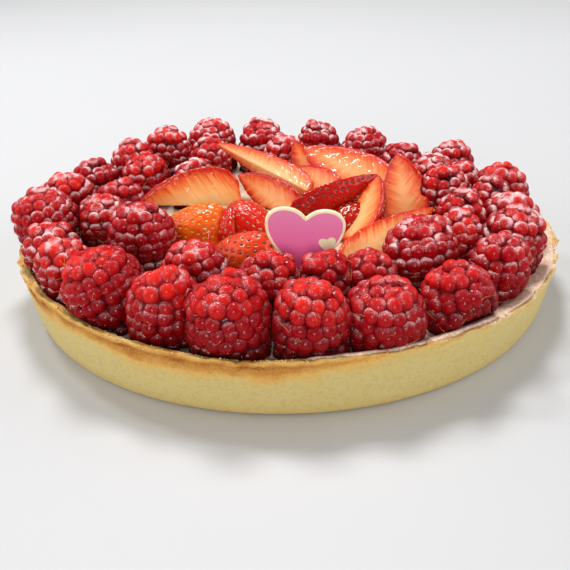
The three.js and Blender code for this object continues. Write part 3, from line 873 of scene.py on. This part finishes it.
class TART_OT_raspberries(bpy.types.Operator):
    """Stands the raspberries in their rings, with their hairs and sugar"""

    bl_idname = "tart.raspberries"
    bl_label = "Raspberries"
    bl_options = {"REGISTER", "UNDO"}

    def execute(self, context):
        settings = context.scene.tart.raspberry
        material = raspberry_material(settings)
        places = raspberry_places()
        chance = np.random.default_rng(11)
        skins, normals, exposed, hollows = [], [], [], []
        for index, place in enumerate(places):
            apart = [np.linalg.norm(other["centre"] - place["centre"]) for other in places]
            near = [other for other, gap in zip(places, apart) if 0 < gap < BERRY_REACH]
            points, faces, values = berry_mesh(place, near, settings.drupelet / MM, chance)
            node = f"raspberry_{index + 1:02d}"
            piece = make_object(f"ripe_{node}", points, faces, material)
            crest = values[:, 0]
            set_values(piece, "crest", crest)
            set_values(piece, "tone", np.clip(values[:, 1] * 0.6 + 0.5 * chance.uniform(), 0, 1))
            set_values(piece, "rise", values[:, 2])
            front = smoothstep(-30, -62, place["centre"][1])
            set_values(piece, "frost", chance.uniform(1.0, 1.5) * (1 - 0.5 * front) * values[:, 3])
            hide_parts(node)
            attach(piece, "root")
            normal = np.zeros(len(points) * 3, dtype=np.float32)
            piece.data.vertex_normals.foreach_get("vector", normal)
            normal = normal.reshape(-1, 3)
            lit = (normal[:, 2] > 0.3) & (crest > 0.3) & (values[:, 3] > 0)
            exposed.append(smoothstep(0.5, 0.9, values[lit, 2]) * (1 - 0.6 * front) + 0.001)
            skins.append(points[lit])
            normals.append(normal[lit])
            low = np.where((normal[:, 2] > -0.3) & (crest > 0.3) & (crest < 0.7) & (values[:, 3] > 0))[0]
            for i in chance.choice(low, min(HAIRS, len(low)), replace=False):
                hollows.append((points[i], normal[i]))
        spots = np.vstack(skins), np.vstack(normals), np.concatenate(exposed)
        self.add_grains(*spots, settings.grains, chance)
        self.add_hairs(hollows, chance)
        return {"FINISHED"}

    def add_grains(self, skins, normals, exposed, count, chance):
        """Lumps of sugar on the skins that face up, more of them where it has drifted."""
        weight = np.clip(normals[:, 2], 0.05, 1) ** 1.5
        clumps = np.clip(0.7 + 1.2 * lumps(skins, 6, 70.0, 2), 0.1, 2)
        weight *= clumps * exposed
        chosen = chance.choice(len(skins), count, replace=True, p=weight / weight.sum())
        grains = []
        for i in chosen:
            size = chance.uniform(*GRAIN_SIZES)
            at = skins[i] + chance.normal(size=3) * 0.25 + normals[i] * size * 0.2
            grains.append((crystal(at, size, chance), CRYSTAL_FACES))
        points, faces = join(grains)
        piece = make_object("icing_sugar_grains", points, faces, sugar_material(), smooth=False)
        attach(piece, "root")

    def add_hairs(self, hollows, chance):
        """Fine hairs that start between the drupelets."""
        hairs = []
        for at, normal in hollows:
            way = 0.55 * normal + chance.normal(size=3) * 0.6
            way /= np.linalg.norm(way)
            hairs.append(thread(at + normal * 0.12, way, chance.uniform(*HAIR_LENGTHS), chance))
        points, faces = join(hairs)
        piece = make_object("raspberry_threads", points, faces, hair_material())
        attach(piece, "root")


# Strawberries


def strawberry_turn(shoulder, tip, faces):
    """The strawberry's own axes as rows: across the cut, out of the cut, and along to the tip."""
    axis = np.subtract(tip, shoulder)
    axis = axis / np.linalg.norm(axis)
    side = np.cross(direction(*faces), axis)
    side /= np.linalg.norm(side)
    return np.array([side, np.cross(axis, side), axis])


def strawberry_radius(share, radius):
    """Radius of a whole strawberry at a share of its length from shoulder to tip."""
    widest = SHOULDER / (SHOULDER + TAPER)
    fullest = widest**SHOULDER * (1 - widest) ** TAPER
    share = np.clip(share, 1e-4, 1 - 1e-4)
    return radius * share**SHOULDER * (1 - share) ** TAPER / fullest


def fine_copy(node, cell):
    """The CAD solid of a piece as a fine even mesh with softened edges, in millimetres."""
    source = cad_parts[node].data
    work = bmesh.new()
    work.from_mesh(source)
    bmesh.ops.remove_doubles(work, verts=work.verts, dist=0.002 * MM)
    mesh = bpy.data.meshes.new("work")
    work.to_mesh(mesh)
    work.free()
    piece = bpy.data.objects.new("work", mesh)
    bpy.context.scene.collection.objects.link(piece)
    remesh = piece.modifiers.new("Even", "REMESH")
    remesh.mode = "VOXEL"
    remesh.voxel_size = cell * MM
    soften = piece.modifiers.new("Soften", "SMOOTH")
    soften.iterations = 3
    soften.factor = 0.5
    shaped = bpy.data.meshes.new_from_object(piece.evaluated_get(bpy.context.evaluated_depsgraph_get()))
    bpy.data.objects.remove(piece)
    bpy.data.meshes.remove(mesh)
    points = np.zeros(len(shaped.vertices) * 3, dtype=np.float32)
    shaped.vertices.foreach_get("co", points)
    faces = [tuple(p.vertices) for p in shaped.polygons]
    bpy.data.meshes.remove(shaped)
    return points.reshape(-1, 3).astype(float) / MM, faces


def seed_places(size, radius, gap, chance):
    """Where seeds sit on a whole strawberry, in its own axes and staggered rows: points and normals."""
    places = []
    share, row, step = 0.06, 0, 0.01
    while share < 0.97:
        ring = float(strawberry_radius(share, radius))
        count = max(3, round(2 * math.pi * ring / (gap * 1.05)))
        for i in range(count):
            turn = 2 * math.pi * (i + 0.5 * (row % 2) + chance.uniform(-0.12, 0.12)) / count
            slope = float(strawberry_radius(share + step, radius)) - ring
            normal = np.array([math.cos(turn), math.sin(turn), -slope / (step * size)])
            normal /= np.linalg.norm(normal)
            places.append((np.array([ring * math.cos(turn), ring * math.sin(turn), share * size]), normal))
        share += gap * 0.85 / size
        row += 1
    return places


def seed_mesh(at, normal, axis, size):
    """A small flat drop-shaped seed lying on the skin and pointing to the tip."""
    along = axis - normal * (axis @ normal)
    along /= np.linalg.norm(along)
    across = np.cross(normal, along)
    rings, sides = SEED_CUT
    points = []
    for j in range(1, rings):
        t = math.pi * j / rings
        for k in range(sides):
            a = 2 * math.pi * k / sides
            w = math.sin(t) * (1 - 0.35 * math.cos(t))
            spot = across * 0.36 * w * math.cos(a) + normal * 0.24 * w * math.sin(a)
            points.append(at + size * (along * math.cos(t) * 0.62 + spot))
    points += [at + along * size * 0.62, at - along * size * 0.62]
    faces = ring_faces(rings - 1, sides)
    top, bottom = len(points) - 2, len(points) - 1
    last = (rings - 2) * sides
    for k in range(sides):
        m = (k + 1) % sides
        faces += [(m, k, top), (last + k, last + m, bottom)]
    return np.array(points), faces


def strawberry_material(settings):
    """Glazed strawberry: wet flesh that lets light in, paler and fibrous to the core, under clear jelly."""
    material, tree, shader = new_material("Glazed strawberry")
    depth, ripe, red = (
        add_node(tree, "Attribute", {"attribute_name": name}).outputs["Fac"]
        for name in ("depth", "ripe", "red")
    )
    grain = add_node(tree, "Attribute", {"attribute_name": "grain"}).outputs["Vector"]
    place = add_node(tree, "TexCoord").outputs["Object"]
    # Fibres run from the core out to each seed, about a millimetre apart
    fibres = add_node(tree, "TexNoise", {"Vector": grain, "Scale": 1.0, "Detail": 4.0, "Roughness": 0.6})
    streaks = add_node(tree, "Math", {"operation": "MULTIPLY_ADD", 0: fibres, 1: 0.9, 2: -0.45})
    inside = add_node(tree, "Math", {"operation": "ADD", 0: depth, 1: streaks})
    pale = add_node(tree, "ValToRGB", {"Fac": inside, "stops": [
        (0.0, 0xB8140A), (0.09, 0xE0401A), (0.24, 0xF47A3C), (0.45, settings.flesh), (0.85, settings.core),
    ]})
    deep = add_node(tree, "ValToRGB", {"Fac": inside, "stops": [
        (0.0, 0x960608), (0.2, 0xC81A10), (0.5, 0xE0401E), (0.85, 0xEE8450),
    ]})
    flesh = add_node(tree, "Mix", {"data_type": "RGBA", 0: red, 6: pale, 7: deep}).outputs[2]
    mottle = add_node(tree, "TexNoise", {"Vector": place, "Scale": 1 / (5 * MM), "Detail": 3.0})
    blush = add_node(tree, "Math", {"operation": "MULTIPLY_ADD", 0: mottle, 1: 0.5, 2: -0.25})
    ripeness = add_node(tree, "Math", {"operation": "ADD", "use_clamp": True, 0: ripe, 1: blush})
    skin = add_node(tree, "ValToRGB", {"Fac": ripeness, "stops": [
        (0.0, 0xF08A24), (0.3, settings.pale_skin), (0.65, settings.skin), (1.0, 0xA80A0A),
    ]})
    rind = add_node(tree, "ValToRGB", {"Fac": depth, "stops": [(0.03, 1.0), (0.16, 0.0)]})
    # The jelly lies in soft beads a few millimetres wide
    beads = add_node(tree, "TexNoise", {"Vector": place, "Scale": 1 / (4 * MM), "Detail": 2.0})
    set_node(tree, shader, {
        "Base Color": add_node(tree, "Mix", {"data_type": "RGBA", 0: rind, 6: flesh, 7: skin}).outputs[2],
        "Normal": add_node(tree, "Bump", {"Height": fibres, "Strength": 0.3, "Distance": 0.3 * MM}),
        "Coat Normal": add_node(tree, "Bump", {"Height": beads, "Strength": 0.6, "Distance": 1.2 * MM}),
        "Roughness": 0.32,
        "IOR": 1.38,
        "Subsurface Weight": 0.3,
        "Subsurface Radius": (1.0, 0.3, 0.12),
        "Subsurface Scale": 1.4 * MM,
        "Specular IOR Level": 0.12,
        "Coat Weight": 0.8,
        "Coat Roughness": 0.05,
        "Coat IOR": 1.35,
    })
    return material


def seed_material():
    """Strawberry seeds: hard, dry and straw yellow, or brown on the ripest fruit."""
    material, tree, shader = new_material("Strawberry seed")
    dark = add_node(tree, "Attribute", {"attribute_name": "dark"}).outputs["Fac"]
    tone = add_node(tree, "ValToRGB", {
        "Fac": dark, "stops": [(0.0, 0xE8C23A), (0.5, 0xB8862A), (1.0, 0x5A2A16)],
    })
    set_node(tree, shader, {
        "Base Color": tone, "Roughness": 0.35, "Coat Weight": 0.5, "Coat Roughness": 0.1,
    })
    return material


def fit_skin(own, size, radius):
    """Points of a cut strawberry, in its own axes, with those by its skin drawn onto its true round."""
    rho = np.hypot(own[:, 0], own[:, 1])
    edge = strawberry_radius(own[:, 2] / size, radius)
    near = (rho > 0.9 * edge) & (edge > 1.2)
    pull = np.where(near, smoothstep(0.9, 0.96, rho / np.maximum(edge, 0.1)), 0)
    swell = 1 + pull * (edge / np.maximum(rho, 0.1) - 1) * 0.9
    own[:, :2] *= swell[:, None]
    return own


def seeds_on_skin(own, faces, places):
    """The seed places where a cut piece still has its skin."""
    surface = BVHTree.FromPolygons([tuple(point) for point in own], faces)
    kept = []
    for at, normal in places:
        hit, facing, _, away = surface.find_nearest(Vector(at))
        if hit and away < 0.45 and facing.dot(Vector(normal)) > 0.75:
            kept.append((at, normal))
    return kept


class TART_OT_strawberries(bpy.types.Operator):
    """Heaps the glazed strawberry pieces, with their seeds"""

    bl_idname = "tart.strawberries"
    bl_label = "Strawberries"
    bl_options = {"REGISTER", "UNDO"}

    def execute(self, context):
        settings = context.scene.tart.strawberry
        material = strawberry_material(settings)
        gap = settings.seed_gap / MM
        chance = np.random.default_rng(5)
        seeds, darkness = [], []
        for name, (shoulder, tip, radius, faces_to, ripe, red, dark) in STRAWBERRIES.items():
            points, faces = fine_copy(f"strawberry_{name}", STRAWBERRY_CELL)
            turn = strawberry_turn(shoulder, tip, faces_to)
            size = float(np.linalg.norm(np.subtract(tip, shoulder)))
            own = fit_skin((points - shoulder) @ turn.T, size, radius)
            kept = seeds_on_skin(own, faces, seed_places(size, radius, gap, chance))
            for at, normal in kept:
                away = np.linalg.norm(own - at, axis=1)
                own -= normal * (DIMPLE_DEPTH * np.clip(1 - (away / DIMPLE_WIDTH) ** 2, 0, 1) ** 2)[:, None]
            rho = np.hypot(own[:, 0], own[:, 1])
            edge = strawberry_radius(own[:, 2] / size, radius)
            piece = make_object(f"glazed_{name}", own @ turn + shoulder, faces, material)
            set_values(piece, "depth", np.clip((edge - rho) / np.maximum(radius, 1), 0, 1))
            set_values(piece, "ripe", np.full(len(own), ripe))
            set_values(piece, "red", np.full(len(own), red))
            around = np.arctan2(own[:, 1], own[:, 0])
            set_vectors(piece, "grain", np.stack([own[:, 2] - 0.75 * rho, around * 3.0, rho * 0.12], axis=1))
            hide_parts(f"strawberry_{name}")
            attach(piece, "root")
            for at, normal in kept:
                sunk = at - normal * SEED_SUNK
                seed, quads = seed_mesh(sunk, normal, np.array([0, 0, 1.0]), chance.uniform(*SEED_SIZES))
                seeds.append((seed @ turn + shoulder, quads))
                darkness += [np.clip(dark + chance.uniform(-0.15, 0.15), 0, 1)] * len(seed)
        points, faces = join(seeds)
        piece = make_object("strawberry_seeds", points, faces, seed_material())
        set_values(piece, "dark", darkness)
        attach(piece, "root")
        return {"FINISHED"}


# Plaque


def heart(half, steps=24):
    """Outline of a heart, from its point round its right lobe; half is half its width."""
    arcs = [
        ((0, -1.02), (0.34, -0.62), (1, -0.2), (1, 0.36)),
        ((1, 0.36), (1, 0.8), (0.3, 0.9), (0, 0.52)),
        ((0, 0.52), (-0.3, 0.9), (-1, 0.8), (-1, 0.36)),
        ((-1, 0.36), (-1, -0.2), (-0.34, -0.62), (0, -1.02)),
    ]
    points = []
    for a, b, c, d in np.array(arcs):
        for t in np.arange(steps) / steps:
            u = 1 - t
            points.append(half * (u**3 * a + 3 * u * u * t * b + 3 * u * t * t * c + t**3 * d))
    return np.array(points)


def inset(outline, distance):
    """The outline moved inwards by a distance, without the loops that its corners would make."""
    along = np.roll(outline, -1, 0) - np.roll(outline, 1, 0)
    along /= np.linalg.norm(along, axis=1)[:, None]
    moved = outline + np.stack([-along[:, 1], along[:, 0]], axis=1) * distance
    near = np.linalg.norm(moved[:, None] - outline[None], axis=2).min(1)
    return moved[near > 0.97 * distance]


def slab(outline, front, back, bevel):
    """A plate with the outline, its front edge rounded, as points and faces; its face looks to -y."""
    shrink = 1 - bevel / np.abs(outline).max()
    middle = outline.mean(0)
    rings = [(2, front), (1, front + 0.35 * bevel), (0, front + bevel)]
    thick = back - front > 3 * bevel
    rings += [(0, back - bevel), (1, back - 0.4 * bevel), (2, back)] if thick else [(0, back)]
    points = []
    for step, level in rings:
        ring = middle + (outline - middle) * shrink ** (0.5 * step)
        points.append(np.column_stack([ring[:, 0], np.full(len(ring), level), ring[:, 1]]))
    steps = len(outline)
    faces = [f[::-1] for f in ring_faces(len(rings), steps)]
    last = (len(rings) - 1) * steps
    faces += [tuple(range(steps)), tuple(range(last, last + steps))[::-1]]
    return np.vstack(points), faces


def plaque_material(settings):
    """Tinted tempered chocolate: smooth, faintly waxy, printed in a pink that deepens to the point."""
    material, tree, shader = new_material("Pink printed chocolate")
    up = add_node(tree, "Attribute", {"attribute_name": "up"}).outputs["Fac"]
    tone = add_node(tree, "ValToRGB", {
        "Fac": up, "stops": [(0.0, settings.bottom), (0.45, 0xF06EAA), (1.0, settings.top)],
    })
    place = add_node(tree, "TexCoord").outputs["Object"]
    print_grain = add_node(tree, "TexNoise", {"Vector": place, "Scale": 1 / (0.35 * MM), "Detail": 2.0})
    dots = add_node(tree, "ValToRGB", {"Fac": print_grain, "stops": [(0.3, 0.93), (0.7, 1.0)]})
    set_node(tree, shader, {
        "Base Color": add_node(tree, "Mix", {
            "data_type": "RGBA", "blend_type": "MULTIPLY", 0: 1.0, 6: tone, 7: dots,
        }).outputs[2],
        "Roughness": 0.38,
        "Subsurface Weight": 0.1,
        "Subsurface Scale": 0.5 * MM,
    })
    return material


def chocolate_material(settings):
    """White chocolate: warm ivory and smooth, where the plaque's edge and motif are bare of print."""
    material, tree, shader = new_material("White chocolate")
    place = add_node(tree, "TexCoord").outputs["Object"]
    bloom = add_node(tree, "TexNoise", {"Vector": place, "Scale": 1 / (1.5 * MM), "Detail": 3.0})
    set_node(tree, shader, {
        "Base Color": add_node(tree, "ValToRGB", {
            "Fac": bloom, "stops": [(0.3, 0xFAE8B8), (0.7, settings.edge)],
        }),
        "Roughness": 0.35,
        "Subsurface Weight": 0.2,
        "Subsurface Scale": 0.6 * MM,
    })
    return material


class TART_OT_plaque(bpy.types.Operator):
    """Stands the heart plaque against the fruit"""

    bl_idname = "tart.plaque"
    bl_label = "Plaque"
    bl_options = {"REGISTER", "UNDO"}

    def execute(self, context):
        settings = context.scene.tart.plaque
        half, thick = PLAQUE_WIDTH / 2, PLAQUE_THICKNESS / 2
        body = heart(half)
        tilt = math.radians(BADGE_TURN)
        badge_turn = np.array([[math.cos(tilt), math.sin(tilt)], [-math.sin(tilt), math.cos(tilt)]])
        # The body is bare chocolate, the face on it is printed, and the motif on that is bare again
        parts = [
            slab(body, -thick + 0.06, thick, 0.35),
            slab(inset(body, PLAQUE_EDGE), -thick + 0.01, -thick + 0.3, 0.06),
            slab(heart(BADGE_SIZE) @ badge_turn + BADGE_AT, -thick - 0.03, -thick + 0.3, 0.05),
        ]
        slots = np.repeat([0, 1, 0], [len(quads) for _, quads in parts]).tolist()
        points, faces = join(parts)
        roll = Matrix.Rotation(math.radians(-PLAQUE_ROLL), 3, "Y")
        turn = np.array(roll @ Matrix.Rotation(math.radians(-PLAQUE_LEAN), 3, "X"))
        placed = points @ turn.T + PLAQUE_AT
        piece = make_object("heart_plaque", placed, faces, chocolate_material(settings), smooth=False)
        piece.data.materials.append(plaque_material(settings))
        piece.data.polygons.foreach_set("material_index", slots)
        set_values(piece, "up", np.clip((points[:, 2] + half) / (1.8 * half), 0, 1))
        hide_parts("plaque")
        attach(piece, "root")
        return {"FINISHED"}


# Stage


def floor_material(settings):
    """Matt white laminate sweep: even, with a faint drift of tone so that it isn't one flat value."""
    material, tree, shader = new_material("Matt white laminate")
    place = add_node(tree, "TexCoord").outputs["Object"]
    drift = add_node(tree, "TexNoise", {"Vector": place, "Scale": 3.0, "Detail": 2.0})
    tone = add_node(tree, "ValToRGB", {"Fac": drift, "stops": [(0.3, 0xC3C3C4), (0.7, settings.floor)]})
    set_node(tree, shader, {"Base Color": tone, "Roughness": 0.6})
    return material


class TART_OT_stage(bpy.types.Operator):
    """Sets the pale floor, the soft studio light and the camera"""

    bl_idname = "tart.stage"
    bl_label = "Stage"
    bl_options = {"REGISTER", "UNDO"}

    def execute(self, context):
        scene = context.scene
        settings = scene.tart.stage
        corners = np.array([(-1, -1, 0), (1, -1, 0), (1, 1, 0), (-1, 1, 0)]) * FLOOR_REACH
        floor = make_object("studio_floor", corners, [(0, 1, 2, 3)], floor_material(settings), smooth=False)
        self.add_light("overhead_softbox", (-0.08, 0.6, 1.15), 0.34, settings.key)
        self.add_light("small_softbox", (-0.45, 0.35, 0.8), 0.12, settings.small)
        self.add_light("front_softbox", (-0.1, -1.5, 0.55), 0.6, settings.front)
        self.add_light("left_softbox", (-1.1, 0.1, 0.55), 0.9, 0.85 * settings.sides)
        self.add_light("right_softbox", (1.1, 0.1, 0.55), 0.9, settings.sides)
        world = bpy.data.worlds.new("Studio")
        world.use_nodes = True
        background = world.node_tree.nodes["Background"]
        background.inputs["Color"].default_value = linear(0xF4F5F7)
        background.inputs["Strength"].default_value = 0.3
        scene.world = world
        data = bpy.data.cameras.new("camera")
        data.sensor_width = SENSOR_WIDTH
        data.lens = CAMERA_LENS
        camera = bpy.data.objects.new("camera", data)
        camera.location = CAMERA_AT
        camera.rotation_euler = [math.radians(a) for a in CAMERA_TURN]
        data.clip_start = 0.01
        scene.collection.objects.link(camera)
        scene.camera = camera
        scene.view_settings.view_transform = "Standard"
        return {"FINISHED"}

    def add_light(self, name, place, size, watts):
        data = bpy.data.lights.new(name, "AREA")
        data.size = size
        data.energy = watts
        light = bpy.data.objects.new(name, data)
        light.location = place
        aim = Vector(LIGHT_AIM) - Vector(place)
        light.rotation_euler = aim.to_track_quat("-Z", "Y").to_euler()
        bpy.context.scene.collection.objects.link(light)


class TART_PT_panel(bpy.types.Panel):
    bl_idname = "TART_PT_panel"
    bl_label = "Berry tart"
    bl_space_type = "VIEW_3D"
    bl_region_type = "UI"
    bl_category = "Tart"

    def draw(self, context):
        for piece in STEPS:
            self.layout.operator(f"tart.{piece}")
            settings = getattr(context.scene.tart, piece.replace("ies", "y"), None)
            for name in getattr(settings, "__annotations__", {}):
                self.layout.prop(settings, name)


STEPS = ["stage", "crust", "filling", "raspberries", "strawberries", "plaque"]
CLASSES = [
    TartCrustSettings, TartFillingSettings, TartRaspberrySettings, TartStrawberrySettings, TartPlaqueSettings,
    TartStageSettings, TartSettings, TART_OT_stage, TART_OT_crust, TART_OT_filling, TART_OT_raspberries,
    TART_OT_strawberries, TART_OT_plaque, TART_PT_panel,
]


def register():
    for cls in CLASSES:
        bpy.utils.register_class(cls)
    bpy.types.Scene.tart = bpy.props.PointerProperty(type=TartSettings)


def unregister():
    del bpy.types.Scene.tart
    for cls in reversed(CLASSES):
        bpy.utils.unregister_class(cls)


def main():
    register()
    for step in STEPS:
        getattr(bpy.ops.tart, step)()


if __name__ == "__main__":
    main()
